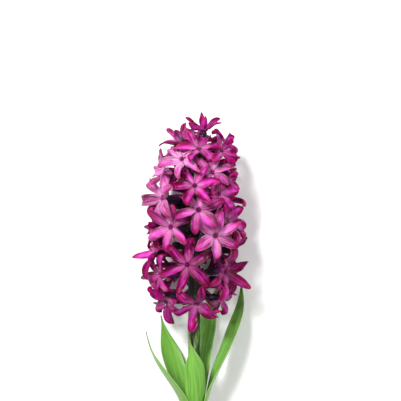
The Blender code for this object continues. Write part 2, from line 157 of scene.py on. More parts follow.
LOOK_ACROSS, LOOK_STATION, LOOK_HEIGHT = 4.9, 94.9, 57.0
FRAME_WIDTH, LENS, SENSOR = 300.75, 100.0, 36.0
FLOOR_HALF = 0.5  # metres
STUDIO_LIGHT, STUDIO_BACKDROP = 0.35, 1.0
KEY_PLACE, KEY_SIZE, KEY_POWER = (-0.44, 0.66, 1.15), 0.30, 25.5  # metres and watts
FILL_PLACE, FILL_SIZE, FILL_POWER = (0.55, -0.15, 1.1), 0.8, 7.0  # metres and watts


def axis_point(station):
    """The middle of the scape, which leans to one side and climbs a little towards the tip."""
    lean = 6.0 * max(0.0, (station - 30.0) / 115.0) ** 2
    return SHIFT + Vector((lean, station, AXIS_Z + AXIS_RISE * (station + 103.0)))


def radial(azimuth):
    """The direction away from the scape: 0 is up and 90 is across to +X."""
    angle = math.radians(azimuth)
    return Vector((math.sin(angle), 0.0, math.cos(angle)))


def smooth(t):
    t = min(1.0, max(0.0, t))
    return t * t * (3.0 - 2.0 * t)


def between(points, x):
    """The value at x of a smooth line through (place, value) pairs."""
    for (a, low), (b, high) in zip(points, points[1:]):
        if x <= b:
            return low + (high - low) * smooth((x - a) / (b - a))
    return points[-1][1]


def bezier(points, t):
    a, b, c, d = points
    s = 1.0 - t
    return a * s**3 + b * (3 * s * s * t) + c * (3 * s * t * t) + d * t**3


def bezier_slope(points, t):
    a, b, c, d = points
    s = 1.0 - t
    return ((b - a) * (3 * s * s) + (c - b) * (6 * s * t) + (d - c) * (3 * t * t)).normalized()


def plant_frame(station):
    """A frame on the plant's axis whose Z runs towards the tip."""
    along = (axis_point(station + 1.0) - axis_point(station)).normalized()
    across = Vector((1.0, 0.0, 0.0))
    turn = Matrix((across, along.cross(across), along)).transposed().to_4x4()
    return Matrix.Translation(axis_point(station)) @ turn


# ---------------- meshes


class Shape:
    """The points and faces of one piece, with the values that its materials read."""

    KEYS = ("along", "across", "inside", "tone", "pale")

    def __init__(self, pale=0.0):
        self.points, self.faces, self.finish = [], [], []
        self.values = {key: [] for key in self.KEYS}
        self.pale = pale

    def ring(self, points, values):
        """Adds a run of points, with a row of values for each: all KEYS but pale, the piece's own."""
        first = len(self.points)
        self.points += points
        for row in values:
            for key, value in zip(self.KEYS, (*row, self.pale)):
                self.values[key].append(value)
        return list(range(first, first + len(points)))

    def skin(self, rings, finish=0):
        """One closed skin over a run of rings, with its two ends filled."""
        for low, high in zip(rings, rings[1:]):
            for i in range(len(low)):
                j = (i + 1) % len(low)
                self.faces.append((low[i], low[j], high[j], high[i]))
        self.faces.append(tuple(reversed(rings[0])))
        self.faces.append(tuple(rings[-1]))
        self.finish += [finish] * (len(self.faces) - len(self.finish))

    def tube(self, path, radii, sides, finish=0, tone=0.5):
        """A round skin along a run of points."""
        rings = []
        for i, (centre, radius) in enumerate(zip(path, radii)):
            along = (path[min(i + 1, len(path) - 1)] - path[max(i - 1, 0)]).normalized()
            right = along.orthogonal().normalized() if i == 0 else (right - along * right.dot(along))
            right.normalize()
            front = along.cross(right)
            ring = []
            for k in range(sides):
                angle = math.tau * k / sides
                ring.append(centre + (right * math.cos(angle) + front * math.sin(angle)) * radius)
            share = i / (len(path) - 1)
            rings.append(self.ring(ring, [(share, 0.0, 0.0, tone)] * sides))
        self.skin(rings, finish)

    def mesh(self, name):
        mesh = bpy.data.meshes.new(name)
        mesh.from_pydata([p * MM for p in self.points], [], self.faces)
        mesh.polygons.foreach_set("material_index", self.finish)
        for key, values in self.values.items():
            mesh.attributes.new(key, "FLOAT", "POINT").data.foreach_set("value", values)
        bm = bmesh.new()
        bm.from_mesh(mesh)
        bmesh.ops.recalc_face_normals(bm, faces=bm.faces)
        bm.to_mesh(mesh)
        bm.free()
        mesh.shade_smooth()
        return mesh


def add_piece(name, mesh, materials, slot, *nodes):
    """Puts a mesh in the scene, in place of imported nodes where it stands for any."""
    for material in materials:
        mesh.materials.append(material)
    piece = bpy.data.objects.new(name, mesh)
    bpy.context.scene.collection.objects.link(piece)
    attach(piece, "root")
    if nodes:
        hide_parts(*nodes)
    return piece


# ---------------- materials


SOCKETS = {"specular_ior_level": "Specular IOR Level"}  # the one name that title() can't make


class Finish:
    """A Principled material and short calls for the nodes that feed it."""

    def __init__(self, name, **sockets):
        self.material = bpy.data.materials.new(name)
        self.material.use_nodes = True
        self.tree = self.material.node_tree
        self.shader = self.tree.nodes["Principled BSDF"]
        for key, value in sockets.items():
            self.shader.inputs[SOCKETS.get(key, key.replace("_", " ").title())].default_value = value

    def node(self, kind, **settings):
        made = self.tree.nodes.new("ShaderNode" + kind)
        for key, value in settings.items():
            setattr(made, key, value)
        return made

    def feed(self, socket, value):
        if isinstance(value, bpy.types.NodeSocket):
            self.tree.links.new(value, socket)
        else:
            socket.default_value = value

    def attribute(self, name):
        return self.node("Attribute", attribute_name=name).outputs["Fac"]

    def math(self, operation, a, b=0.0, clamp=False):
        made = self.node("Math", operation=operation, use_clamp=clamp)
        self.feed(made.inputs[0], a)
        self.feed(made.inputs[1], b)
        return made.outputs[0]

    def plus(self, a, b, clamp=False):
        return self.math("ADD", a, b, clamp)

    def times(self, a, b, clamp=False):
        return self.math("MULTIPLY", a, b, clamp)

    def swing(self, value, width):
        """A value from 0 to 1, made to swing this wide about nothing."""
        return self.times(self.math("SUBTRACT", value, 0.5), width)

    def place(self, stretch=(1.0, 1.0, 1.0)):
        """Where the surface is, in millimetres, stretched along each axis."""
        spot = self.node("TexCoord").outputs["Object"]
        made = self.node("VectorMath", operation="MULTIPLY")
        self.feed(made.inputs[0], spot)
        self.feed(made.inputs[1], tuple(1000.0 * s for s in stretch))
        return made.outputs[0]

    def grain(self, *rows):
        """A place in a pattern that runs along the piece: three values, each with its stretch."""
        made = self.node("CombineXYZ")
        for socket, (value, stretch) in zip(made.inputs, rows):
            self.feed(socket, self.times(value, stretch))
        return made.outputs[0]

    def noise(self, vector, scale, detail=3.0, distortion=0.0):
        made = self.node("TexNoise")
        self.feed(made.inputs["Vector"], vector)
        self.feed(made.inputs["Scale"], scale)
        self.feed(made.inputs["Detail"], detail)
        self.feed(made.inputs["Distortion"], distortion)
        return made.outputs["Fac"]

    def ramp(self, value, *stops):
        """Colours (or shades) at places from 0 to 1."""
        made = self.node("ValToRGB")
        points = made.color_ramp.elements
        while len(points) < len(stops):
            points.new(0.5)
        for point, (place, colour) in zip(points, stops):
            point.position = place
            colour = (colour,) * 3 if isinstance(colour, float) else colour
            point.color = (*colour, 1.0)
        self.feed(made.inputs[0], value)
        return made.outputs[0]

    def mix(self, share, a, b, blend="MIX"):
        made = self.node("Mix", data_type="RGBA", blend_type=blend)
        self.feed(made.inputs[0], share)
        self.feed(made.inputs[6], a if isinstance(a, bpy.types.NodeSocket) else (*a, 1.0))
        self.feed(made.inputs[7], b if isinstance(b, bpy.types.NodeSocket) else (*b, 1.0))
        return made.outputs[2]

    def colour(self, socket):
        self.feed(self.shader.inputs["Base Color"], socket)

    def bump(self, height, depth, strength=0.5):
        """Relief of this many millimetres."""
        made = self.node("Bump")
        made.inputs["Strength"].default_value = strength
        made.inputs["Distance"].default_value = depth * MM
        self.feed(made.inputs["Height"], height)
        self.feed(self.shader.inputs["Normal"], made.outputs[0])

    def roughness(self, value, low, high):
        span = self.node("MapRange")
        self.feed(span.inputs["Value"], value)
        self.feed(span.inputs["To Min"], low)
        self.feed(span.inputs["To Max"], high)
        self.feed(self.shader.inputs["Roughness"], span.outputs[0])


DEEP = (0.070, 0.001, 0.022)
CRIMSON = (0.27, 0.001, 0.072)
MAGENTA = (0.43, 0.004, 0.255)
ORCHID = (0.49, 0.046, 0.375)
# Pale pink of the painted highlights.
HIGHLIGHT_PINK = (0.60, 0.27, 0.50)
VIOLET = (0.045, 0.006, 0.042)
DUSK = (0.012, 0.003, 0.014)


def petal_material():
    """Lobes with a deep centre stripe, partly painted shade in the channel, painted highlights in the
    lighter bands beside it, and crimson margins and tips; each lobe's stripes are shifted aside as
    painted shade, and pale painted highlights lie near the throat and in streaks on some florets.
    """
    f = Finish("petal", specular_ior_level=0.14, subsurface_weight=0.25, subsurface_scale=1.0 * MM)
    f.shader.inputs["Subsurface Radius"].default_value = (1.0, 0.25, 0.55)
    along, across, inside, tone = (f.attribute(key) for key in Shape.KEYS[:4])
    streaks = f.noise(f.grain((across, 5.0), (along, 1.3), (tone, 40.0)), 1.6, 4.0)
    fine = f.noise(f.place(), 0.5, 3.0)
    drift = f.swing(streaks, 0.5)
    # Each lobe's stripes are shifted to one side by its own amount, so that one half is darker crimson:
    # painted shade of the lobe's channel.
    shade_side_skew = f.swing(f.math("FRACT", f.times(tone, 7.0)), 0.8)
    off = f.math("ABSOLUTE", f.plus(f.plus(across, drift), shade_side_skew))
    margin = ((0.58, CRIMSON), (0.88, DEEP))
    # In the striped lobes the deep centre stripe is partly the keel's own colour and partly painted
    # shade in the channel, and the orchid bands beside it are painted highlights.
    striped = f.ramp(off, (0.0, DEEP), (0.11, CRIMSON), (0.28, ORCHID), (0.44, MAGENTA), *margin)
    plain = f.ramp(off, (0.0, ORCHID), (0.20, ORCHID), (0.40, MAGENTA), *margin)
    front = f.mix(f.ramp(tone, (0.35, 0.0), (0.65, 1.0)), striped, plain)
    back = f.ramp(off, (0.0, DUSK), (0.22, VIOLET), (0.6, MAGENTA), (1.0, CRIMSON))
    colour = f.mix(inside, back, front)
    patch = f.noise(f.grain((across, 1.6), (along, 3.0), (tone, 90.0)), 1.0, 2.0)
    colour = f.mix(f.ramp(patch, (0.52, 0.0), (0.68, 0.7)), colour, ORCHID)
    colour = f.mix(f.ramp(patch, (0.32, 0.6), (0.46, 0.0)), colour, CRIMSON)
    # A pale painted highlight towards the throat.
    throat = f.math("SUBTRACT", along, f.times(drift, 0.9))
    colour = f.mix(f.ramp(throat, (0.02, 0.30), (0.30, 0.0)), colour, HIGHLIGHT_PINK)
    tip = f.plus(along, f.times(drift, 0.6))
    colour = f.mix(f.ramp(tip, (0.62, 0.0), (0.96, 1.0)), colour, CRIMSON)
    # Pale painted highlights in streaks, strongest towards the lobes' bases, on the florets with a value
    # above zero; those below zero are only darker.
    highlight_or_darker = f.attribute("pale")
    highlight_streaks = f.times(f.ramp(along, (0.25, 1.0), (0.8, 0.25)), f.ramp(streaks, (0.42, 0.15), (0.6, 1.0)))
    colour = f.mix(f.times(highlight_or_darker, highlight_streaks, clamp=True), colour, HIGHLIGHT_PINK)
    deeper = f.times(highlight_or_darker, -1.0, clamp=True)
    colour = f.mix(deeper, colour, (0.62, 0.25, 0.46), "MULTIPLY")
    shade = f.plus(f.times(tone, 0.6), f.times(streaks, 0.5))
    shade = f.ramp(shade, (0.15, (0.62, 0.5, 0.58)), (0.9, (1.25, 1.4, 1.25)))
    f.colour(f.mix(1.0, colour, shade, "MULTIPLY"))
    f.roughness(streaks, 0.26, 0.46)
    f.bump(f.plus(f.times(streaks, 0.8), f.times(fine, 0.2)), 0.5, 0.6)
    return f.material


def tube_material():
    """The tube: dark violet outside, darkened towards its base as painted shade, and the wall inside its
    mouth painted near black deeper in as shade, magenta where the lobes part.
    """
    f = Finish("floret_tube", specular_ior_level=0.2)
    along, inside = f.attribute("along"), f.attribute("inside")
    mottle = f.noise(f.place(), 0.7, 3.0)
    place = f.plus(along, f.swing(mottle, 0.3))
    # Outside, the tube darkens towards its base: painted shade among the florets.
    outside = f.ramp(
        place, (0.0, (0.03, 0.03, 0.02)), (0.2, DUSK), (0.65, (0.045, 0.008, 0.052)), (1.0, VIOLET)
    )
    # Inside the mouth the wall goes near black deeper in: painted shade.
    throat = f.ramp(place, (0.5, (0.008, 0.008, 0.003)), (0.88, (0.035, 0.01, 0.02)), (1.0, MAGENTA))
    f.colour(f.mix(inside, outside, throat))
    f.roughness(mottle, 0.32, 0.55)
    f.bump(mottle, 0.25, 0.4)
    return f.material


def heart_material():
    """Pistil and anthers: olive, with dusty cream tips."""
    f = Finish("pistil_and_anthers", roughness=0.6)
    grain = f.noise(f.place(), 3.0, 3.0)
    colour = f.ramp(f.attribute("along"), (0.2, (0.03, 0.045, 0.012)), (0.9, (0.13, 0.12, 0.03)))
    f.colour(f.mix(f.ramp(grain, (0.4, 0.0), (0.7, 0.5)), colour, (0.16, 0.07, 0.05)))
    f.bump(grain, 0.2, 0.5)
    return f.material


def stem_material():
    """The scape: green low down and dark purple up in the raceme, where that purple is deepened to near
    black as painted shade among the florets.
    """
    f = Finish("stem", specular_ior_level=0.15)
    cells = f.noise(f.place((1.0, 0.22, 1.0)), 0.35, 5.0, 0.4)
    station = f.node("SeparateXYZ")
    f.feed(station.inputs[0], f.place())
    height = f.times(f.plus(station.outputs["Y"], 80.0), 1.0 / 240.0)
    purple_and_shade = f.plus(height, f.swing(cells, 1.1))
    # Up in the raceme the colour is partly the scape's own purple and partly painted shade, near black.
    green = ((0.0, (0.20, 0.32, 0.08)), (0.22, (0.06, 0.11, 0.025)), (0.36, (0.010, 0.014, 0.008)))
    f.colour(f.ramp(purple_and_shade, *green, (0.75, (0.010, 0.005, 0.010)), (1.0, (0.03, 0.008, 0.025))))
    f.roughness(cells, 0.3, 0.5)
    f.bump(f.noise(f.place((1.0, 0.12, 1.0)), 1.6, 4.0), 0.4, 0.5)
    return f.material


def leaf_material():
    """Bright strap leaves with parallel veins, pale at the bulb and brown at the very tip."""
    f = Finish("leaf", roughness=0.36, coat_weight=0.12, coat_roughness=0.25)
    along, across, tone = (f.attribute(key) for key in ("along", "across", "tone"))
    veins = f.noise(f.grain((across, 9.0), (along, 1.4), (tone, 20.0)), 2.2, 3.0)
    greens = ((0.3, (0.07, 0.21, 0.020)), (0.55, (0.15, 0.38, 0.045)), (0.8, (0.26, 0.50, 0.085)))
    colour = f.ramp(veins, *greens)
    edge = f.ramp(f.math("ABSOLUTE", across), (0.88, 0.0), (1.0, 0.6))
    colour = f.mix(edge, colour, (0.30, 0.46, 0.14))
    low = f.plus(along, f.swing(veins, 0.05))
    colour = f.mix(f.ramp(low, (0.0, 1.0), (0.16, 0.0)), colour, (0.55, 0.62, 0.30))
    tip = f.ramp(along, (0.965, 0.0), (0.99, 0.9))
    f.colour(f.mix(tip, colour, (0.22, 0.12, 0.05)))
    f.roughness(veins, 0.28, 0.46)
    f.bump(veins, 0.35, 0.6)
    return f.material


def tunic_material():
    """Papery purple-brown scales, streaked along the bulb, with paler worn patches."""
    f = Finish("tunic", roughness=0.5, sheen_weight=0.2)
    along, across, tone = (f.attribute(key) for key in ("along", "across", "tone"))
    veins = f.noise(f.grain((across, 30.0), (along, 2.4), (tone, 30.0)), 1.0, 5.0, 0.3)
    wear = f.noise(f.place((1.0, 0.4, 1.0)), 0.11, 4.0, 0.8)
    purples = ((0.3, (0.10, 0.022, 0.045)), (0.5, (0.26, 0.07, 0.13)), (0.72, (0.42, 0.17, 0.22)))
    colour = f.ramp(veins, *purples)
    worn = f.ramp(wear, (0.52, 0.0), (0.68, 0.75))
    worn = f.plus(worn, f.times(tone, 0.2), clamp=True)
    colour = f.mix(worn, colour, (0.56, 0.36, 0.24))
    foot = f.ramp(along, (0.0, 0.85), (0.14, 0.0))
    f.colour(f.mix(foot, colour, (0.36, 0.25, 0.15)))
    f.roughness(veins, 0.36, 0.66)
    f.bump(veins, 0.7, 0.6)
    return f.material


def root_material():
    """Fleshy cream roots, browner and earthier towards the ends."""
    f = Finish("root", roughness=0.6)
    grain = f.noise(f.place((1.0, 0.5, 1.0)), 0.8, 5.0)
    creams = ((0.0, (0.50, 0.38, 0.22)), (0.12, (0.80, 0.72, 0.54)), (1.0, (0.58, 0.45, 0.28)))
    colour = f.ramp(f.attribute("along"), *creams)
    f.colour(f.mix(f.ramp(grain, (0.45, 0.0), (0.75, 0.7)), colour, (0.30, 0.19, 0.10)))
    f.roughness(grain, 0.45, 0.75)
    f.bump(grain, 0.5, 0.6)
    return f.material


def floor_material():
    """A plain, very pale floor with a faint unevenness."""
    f = Finish("pale_floor", roughness=0.75)
    grain = f.noise(f.place(), 0.02, 3.0)
    f.colour(f.ramp(grain, (0.3, (0.90, 0.90, 0.90)), (0.7, (0.93, 0.93, 0.93))))
    f.bump(f.noise(f.place(), 0.6, 2.0), 0.1, 0.1)
    return f.material


# ---------------- florets


class Floret:
    """One flower: where its tube starts and ends, and which way its face looks."""

    def __init__(self, number, across, station, out, turn, tilt, roll, size, curl):
        self.number, self.roll, self.size, self.curl = number, roll, size, curl
        self.random = random.Random(number)
        centre = axis_point(station)
        self.throat = Vector((SHIFT.x + across, centre.y, centre.z + out))
        turn, tilt = math.radians(turn), math.radians(tilt)
        self.face = Vector(
            (math.sin(turn) * math.cos(tilt), math.sin(tilt), math.cos(turn) * math.cos(tilt))
        )
        self.up = (UP - self.face * self.face.y).normalized()
        self.right = self.up.cross(self.face)
        climb = 5.0 + 9.0 * math.sin(tilt)
        foot = axis_point(min(station - climb, SCAPE_TOP - 3.0))
        away = self.throat - foot
        away.y = 0.0
        rise = math.radians(20.0) + 0.6 * tilt
        self.heading = away.normalized() * math.cos(rise) + Vector((0, math.sin(rise), 0))
        self.foot = foot
        start = foot + self.heading * (PEDICEL_END + GAP + LOBE_SKIN / 2)
        reach = (self.throat - start).length * 0.36
        self.path = (
            start,
            start + self.heading * reach,
            self.throat - self.face * reach,
            self.throat,
        )

    def around(self, angle):
        angle = math.radians(angle)
        return self.right * math.cos(angle) + self.up * math.sin(angle)

    def ring(self, share, radius, sides, shift=0.0, ribs=0.0):
        """Points round the tube, all starting from the same side."""
        centre = bezier(self.path, share)
        along = bezier_slope(self.path, share)
        up = (self.up - along * self.up.dot(along)).normalized()
        right = up.cross(along)
        points = []
        for i in range(sides):
            turn = math.tau * i / sides
            angle = math.radians(self.roll + shift) + turn
            swell = radius * (1.0 + ribs * math.cos(6.0 * turn))
            points.append(centre + (right * math.cos(angle) + up * math.sin(angle)) * swell)
        return points


def all_florets():
    florets = []
    for row in FRONT:
        florets.append(Floret(len(florets) + 1, *row))
    for azimuth, station in BACK:
        number = len(florets) + 1
        radius = BACK_RADIUS + 1.2 * math.sin(2.3 * number)
        radius *= 1.0 - 0.62 * max(0.0, (station - 118.0) / 60.0)
        place = radial(azimuth) * radius
        lean = axis_point(station).x - SHIFT.x
        tilt = 6.0 + 0.42 * (station - 70.0) if station > 70 else 6.0 + 0.75 * (station - 70.0)
        roll = (37.0 * number) % 60.0
        size = 1.0 - 0.14 * max(0.0, (station - 110.0) / 30.0)
        florets.append(
            Floret(number, place.x + lean, station, place.z, azimuth, tilt, roll, size, 108)
        )
    return florets


def lobe_width(share):
    """A lobe's width along its length, as a share of its greatest width."""
    return (0.52 + 0.48 * math.sin(math.pi * share**0.95)) * (1.0 - share**5)


def strap_width(share):
    """The visible lobe's width as a share of its greatest: nearly parallel sides and a rounded end."""
    return (0.66 + 0.34 * math.sin(math.pi * share**0.85)) * max(0.0, 1.0 - share**7) ** 0.55


def lobe_bend(start, curl, share, tip_curl):
    """How far a lobe has turned from the face's direction, in radians."""
    return math.radians(start + (curl - start) * share**0.8 + tip_curl * smooth((share - 0.5) / 0.5))


def lobe_spine(floret, index, bends, steps, tip_curl=0.0):
    """Share, centre, sideways and outward directions at some steps along a lobe."""
    start, curl, lean, length = bends
    angle = floret.roll + LOBE_TURN * index
    spot = floret.throat + floret.around(angle) * TUBE[-1][1] * floret.size
    spine = []
    for i in range(LOBE_STEPS + 1):
        share = i / LOBE_STEPS
        if i in steps:
            bend = lobe_bend(start, curl, share, tip_curl)
            outward = floret.around(angle + lean * share)
            along = floret.face * math.cos(bend) + outward * math.sin(bend)
            normal = floret.face * math.sin(bend) - outward * math.cos(bend)
            spine.append((share, spot.copy(), normal.cross(along).normalized(), normal))
        share += 0.5 / LOBE_STEPS
        bend = lobe_bend(start, curl, share, tip_curl)
        outward = floret.around(angle + lean * share)
        spot = spot + (floret.face * math.cos(bend) + outward * math.sin(bend)) * length / LOBE_STEPS
    return spine


def lobe_choices():
    """Ways to bend a lobe aside, the least change first: start, curl, lean and length."""
    choices = []
    for start in (LOBE_START, LOBE_STEEP):
        for curl in (0, -14, 14, -28, 28, -42, 42, -58, 58, 74):
            for lean in (0, 9, -9, 18, -18, 28, -28, 38, -38, 48, -48):
                for length in (1.0, 0.92, 0.84, 0.74, 0.64):
                    cost = (LOBE_START - start) / 6 + abs(curl) / 14 + abs(lean) / 7
                    choices.append((cost + (1.0 - length) * 16, start, curl, lean, length))
    return sorted(choices)


CHOICES = lobe_choices()
PACKED_WIDEST = 0.55
PACKED_ROWS = (round(PACKED_WIDEST * LOBE_STEPS), LOBE_STEPS)


def packed_bends(floret, index, corners):
    """This lobe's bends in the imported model, whose corners stand half a skin off its middle."""
    wanted = floret.curl + 13.0 * math.sin(2.1 * floret.number + 1.7 * index)
    half = lobe_width(PACKED_WIDEST) * LOBE_WIDTH * floret.size * PACKED_HALVES[index % 2]
    closest, found = math.inf, None
    for _, start, curl, lean, share in CHOICES:
        bends = (start, curl + wanted, lean, LOBE_LENGTH * floret.size * share)
        widest, tip = lobe_spine(floret, index, bends, PACKED_ROWS)
        miss = abs(corners.find(tip[1])[2] - LOBE_SKIN / 2)
        if miss > closest:
            continue
        for side in (-half, half):
            gap = corners.find(widest[1] + widest[2] * side)[2]
            miss = max(miss, abs(gap - LOBE_SKIN / 2))
        if miss < closest:
            closest, found = miss, bends
        if closest < MATCH:
            break
    return found


class Lobe:
    """One lobe's own bend, fold and wave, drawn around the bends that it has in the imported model."""

    COARSE = 4  # columns of the sheet that is tested against others

    def __init__(self, floret, index, bends, wildness, dodge):
        """Wildness, from 0 to 1, is how freely it bends, and dodge how far it turns out of the way."""
        chance = floret.random
        start, curl, lean, length = bends
        raised = chance.random() < RAISED_SHARE
        curl += wildness * (chance.uniform(-50.0, -18.0) if raised else chance.uniform(-12.0, 14.0))
        curl += dodge * chance.uniform(-85.0, 35.0)
        lean += wildness * chance.uniform(-18.0, 18.0) + dodge * chance.uniform(-28.0, 28.0)
        length *= (1.08 - 0.14 * wildness * chance.random()) * (1.0 - 0.3 * dodge)
        self.floret, self.index = floret, index
        rolled = min(1.0, max(0.2, (floret.curl - 50.0) / 60.0))
        tip_curl = wildness * rolled * chance.uniform(15.0, 125.0)
        self.wave, self.phase = chance.uniform(0.2, 0.8), chance.uniform(0, math.tau)
        self.tilt = wildness * chance.uniform(-28.0, 28.0)
        self.twist = wildness * chance.uniform(-55.0, 55.0)
        self.fold = chance.choice(FOLDS) + chance.uniform(-0.1, 0.1)
        self.tone = chance.random()
        self.half = 0.5 * LOBE_WIDTH * floret.size * WHORL_WIDTHS[index % 2] * chance.uniform(0.9, 1.08)
        self.half /= 1.0 + 0.17 * self.fold**2
        self.outward = floret.around(floret.roll + LOBE_TURN * index)
        bends = (start, curl, lean, length)
        self.spine = lobe_spine(floret, index, bends, range(LOBE_STEPS + 1), tip_curl)

    def rooted(self):
        """The spine with its first rows drawn into the tube's mouth."""
        floret = self.floret
        mouth = THROAT_R * floret.size
        pull = TUBE[-1][1] * floret.size - mouth
        rows = []
        for share in (0.74, 0.83, 0.92):
            radius = mouth - 0.35 * (1.0 - share) - 0.05
            middle = floret.ring(share, radius, 1, LOBE_TURN * self.index)[0]
            inward = (bezier(floret.path, share) - middle).normalized()
            side = inward.cross(bezier_slope(floret.path, share)).normalized()
            rows.append((0.0, middle, side, inward))
        for share, spot, side, normal in self.spine:
            spot = spot - self.outward * pull * (1.0 - smooth(share / 0.22))
            rows.append((share, spot, side, normal))
        return rows

    def section(self, row, columns):
        """Points across one row: place on the middle surface, normal, column, and thickness each way."""
        share, spot, side, normal = row
        free = smooth(share / 0.18)
        root_half = THROAT_R * self.floret.size * 0.60
        half = max(root_half + (self.half * strap_width(share) - root_half) * free, 0.12)
        turn = self.tilt * smooth((share - 0.05) / 0.25) + self.twist * smooth((share - 0.2) / 0.8)
        turn = Matrix.Rotation(math.radians(turn), 3, side.cross(normal))
        side, normal = turn @ side, turn @ normal
        rise = 0.28 * free * (1.0 - share) * (1 if self.index % 2 else -1)
        depth = (0.5 + (self.fold - 0.5) * smooth((share - 0.12) / 0.5)) * half
        phase = 7.0 * share + self.phase
        points = []
        for column in range(columns + 1):
            u = -1.0 + 2.0 * column / columns
            ripple = self.wave * free * u * u * math.sin(phase + (1.4 if u > 0 else 0.0))
            rib = 0.26 * free * math.exp(-((u / 0.16) ** 2)) * (1.0 - share)
            lift = rise + ripple - rib - depth * (1.0 - abs(u) ** 1.6)
            middle = spot + side * (half * u) + normal * lift
            middle.z = max(middle.z, REST_GAP)
            thick = (0.50 - 0.34 * u * u) * (1.0 - 0.45 * share) * (0.45 + 0.55 * free)
            points.append((middle, normal, u, thick / 2, thick / 2 + rib * 0.8))
        return points

    def sheet(self):
        """Both sides of the lobe's free part, coarsely."""
        rows = [self.section(row, self.COARSE) for row in self.spine[LOBE_STEPS // 4 :: 2]]
        points, faces = [], []
        wide = self.COARSE + 1
        for off in (-CLEARANCE, CLEARANCE):
            first = len(points)
            points += [spot + normal * off for row in rows for spot, normal, *_ in row]
            for i in range(len(rows) - 1):
                for k in range(first + wide * i, first + wide * i + self.COARSE):
                    faces.append((k, k + 1, k + wide + 1, k + wide))
        return BVHTree.FromPolygons(points, faces)

    def add_to(self, shape):
        """Its skin, front and back, with thin margins."""
        rings = []
        for row in self.rooted():
            share = row[0]
            section = self.section(row, LOBE_COLUMNS)
            front = [spot + normal * above for spot, normal, _, above, _ in section]
            back = [spot - normal * below for spot, normal, _, _, below in reversed(section)]
            columns = [u for _, _, u, _, _ in section]
            values = [(share, u, 1.0, self.tone) for u in columns]
            values += [(share, u, 0.0, self.tone) for u in reversed(columns)]
            rings.append(shape.ring(front + back, values))
        shape.skin(rings)


class Crowd:
    """What stands in the raceme so far, so that a new lobe can be drawn clear of it."""

    NEAR = 44.0  # lobes whose throats are further apart than this aren't tested
    ROWS, SIDES = 6, 8

    def __init__(self, florets):
        self.placed = [(floret.throat, self.tube_sheet(floret)) for floret in florets]

    def tube_sheet(self, floret):
        """A floret's tube, coarsely."""
        points, faces = [], []
        for i in range(self.ROWS):
            radius = between(TUBE, i / self.ROWS) * floret.size + 0.5
            points += floret.ring(i / self.ROWS, radius, self.SIDES)
        for i in range(self.ROWS - 1):
            for k in range(self.SIDES):
                low, high, after = self.SIDES * i, self.SIDES * (i + 1), (k + 1) % self.SIDES
                faces.append((low + k, low + after, high + after, high + k))
        return BVHTree.FromPolygons(points, faces)

    def draw_lobe(self, floret, index, bends):
        """The first lobe drawn that cuts nothing, or the one that cuts the least."""
        near = [tree for spot, tree in self.placed if (spot - floret.throat).length < self.NEAR]
        fewest, best = math.inf, None
        for attempt in range(TRIES):
            share = attempt / TRIES
            lobe = Lobe(floret, index, bends, 1.0 - smooth(share * 1.5), smooth(share * 1.6 - 0.6))
            sheet = lobe.sheet()
            cuts = sum(len(sheet.overlap(tree)) for tree in near)
            if cuts < fewest:
                fewest, best = cuts, (lobe, sheet)
            if cuts == 0:
                break
        lobe, sheet = best
        self.placed.append((floret.throat, sheet))
        return lobe


def add_tube(shape, floret):
    """The tube: a waisted, faintly ribbed outside, and the wall inside its mouth."""
    tone = floret.random.random()
    rings = []
    start = floret.path[0]
    foot = start - floret.heading * 0.9
    for radius, ahead in ((0.55, 0.0), (1.15, 0.25)):
        move = foot + floret.heading * ahead - start
        ring = [spot + move for spot in floret.ring(0.0, radius, TUBE_SIDES)]
        rings.append(shape.ring(ring, [(0.0, 0.0, 0.0, tone)] * TUBE_SIDES))
    for i in range(TUBE_ROWS + 1):
        share = i / TUBE_ROWS
        radius = between(TUBE, share) * floret.size + 0.28
        ring = floret.ring(share, radius, TUBE_SIDES, 0.0, 0.06 * smooth(share * 3))
        rings.append(shape.ring(ring, [(share, 0.0, 0.0, tone)] * TUBE_SIDES))
    mouth = THROAT_R * floret.size
    for i in range(MOUTH_ROWS + 1):
        share = 1.0 - 0.62 * i / MOUTH_ROWS
        ring = floret.ring(share, mouth - 0.35 * (1.0 - share), TUBE_SIDES)
        rings.append(shape.ring(ring, [(share, 0.0, 1.0, tone)] * TUBE_SIDES))
    shape.skin(rings, 1)


def add_heart(shape, floret):
    """A style with its stigma, and six anthers standing in the tube's mouth."""
    style = [bezier(floret.path, 0.5 + 0.5 * i / 6) for i in range(7)]
    style.append(style[-1] + floret.face * 0.5)
    shape.tube(style, STYLE_RADII, 10, 2)
    for index in range(LOBES):
        angle = LOBE_TURN * (index + 0.5)
        root = floret.ring(0.78, 0.85 * floret.size, 1, angle)[0]
        head = floret.ring(0.98, 1.1 * floret.size, 1, angle)[0]
        head += floret.face * floret.random.uniform(-0.3, 0.3)
        path = [root.lerp(head, t) for t in (0.0, 0.15, 0.5, 0.85, 1.0)]
        shape.tube(path, ANTHER_RADII, 8, 2)


def packed_corners(name):
    """A node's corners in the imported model, to be searched for the nearest one."""
    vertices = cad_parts[name].data.vertices
    corners = KDTree(len(vertices))
    for i, vertex in enumerate(vertices):
        corners.insert(vertex.co / MM, i)
    corners.balance()
    return corners


def make_florets(florets, materials):
    crowd = Crowd(florets)
    for floret in florets:
        name = f"floret_{floret.number:02d}"
        corners = packed_corners(name)
        shape = Shape(HIGHLIGHT_OR_DARKER.get(floret.number, 0.0))
        add_tube(shape, floret)
        add_heart(shape, floret)
        for index in range(LOBES):
            bends = packed_bends(floret, index, corners)
            crowd.draw_lobe(floret, index, bends).add_to(shape)
        add_piece(f"bloom_{floret.number:02d}", shape.mesh(name + "_bloom"), materials, "petal", name)


# ---------------- scape


